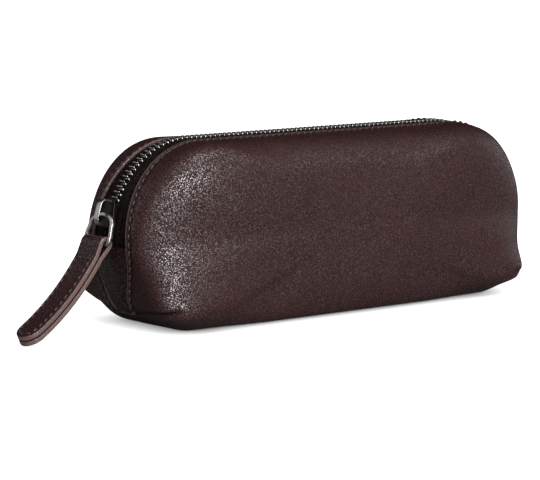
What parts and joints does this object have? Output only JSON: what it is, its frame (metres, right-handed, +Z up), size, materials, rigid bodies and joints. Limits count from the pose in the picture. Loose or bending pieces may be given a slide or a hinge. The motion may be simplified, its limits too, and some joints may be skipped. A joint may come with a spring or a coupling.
{
  "type": "pen pouch",
  "caption": "Soft leather pen pouch with round ends and darted corners, a metal zip over its top, and a leather strap as zip pull.",
  "frame": {"origin": "middle of the flat base that the pouch rests on", "axes": "+X along the pouch, from the end where the closed slider hangs to the other end; +Y from the front to the rear; +Z up"},
  "size_m": [0.2445, 0.0602, 0.0723],
  "materials": {
    "body_leather": "dark brown, fine grain, semi-gloss",
    "body_lining": "brown cotton twill",
    "front_tape": "woven zip tape, dark brown",
    "rear_tape": "woven zip tape, dark brown",
    "front_teeth": "dark nickel plated",
    "rear_teeth": "dark nickel plated",
    "top_stop_front": "dark nickel plated",
    "top_stop_rear": "dark nickel plated",
    "bottom_stop": "dark nickel plated",
    "near_end_tab": "dark brown, fine grain",
    "far_end_tab": "dark brown, fine grain",
    "slider_body": "polished dark nickel",
    "slider_bridge": "polished dark nickel",
    "pull_loop": "polished dark nickel",
    "pull_strap": "dark brown, fine grain, semi-gloss"
  },
  "bodies": {
    "pouch": {"body_leather": "body_leather", "body_lining": "body_lining", "front_tape": "front_tape", "rear_tape": "rear_tape", "front_teeth": "front_teeth", "rear_teeth": "rear_teeth", "top_stop_front": "top_stop_front", "top_stop_rear": "top_stop_rear", "bottom_stop": "bottom_stop", "near_end_tab": "near_end_tab", "far_end_tab": "far_end_tab"},
    "slider": {"slider_body": "slider_body", "slider_bridge": "slider_bridge"},
    "loop": {"pull_loop": "pull_loop"},
    "strap": {"pull_strap": "pull_strap"}
  },
  "joints": [
    {"name": "slider_travel", "type": "hinge", "parent": "pouch", "child": "slider", "pos_m": [-0.06112, 0, 0.03384], "axis": [0, 1, 0], "range_deg": [0, 38], "deforming": ["front_teeth", "rear_teeth"]},
    {"name": "loop_swing", "type": "hinge", "parent": "slider", "child": "loop", "pos_m": [-0.10114, 0, 0.04478], "axis": [0, 1, 0], "range_deg": [-4, 75]},
    {"name": "strap_swing", "type": "hinge", "parent": "loop", "child": "strap", "pos_m": [-0.10478, 0, 0.03419], "axis": [0, 1, 0], "range_deg": [-12, 60]}
  ]
}
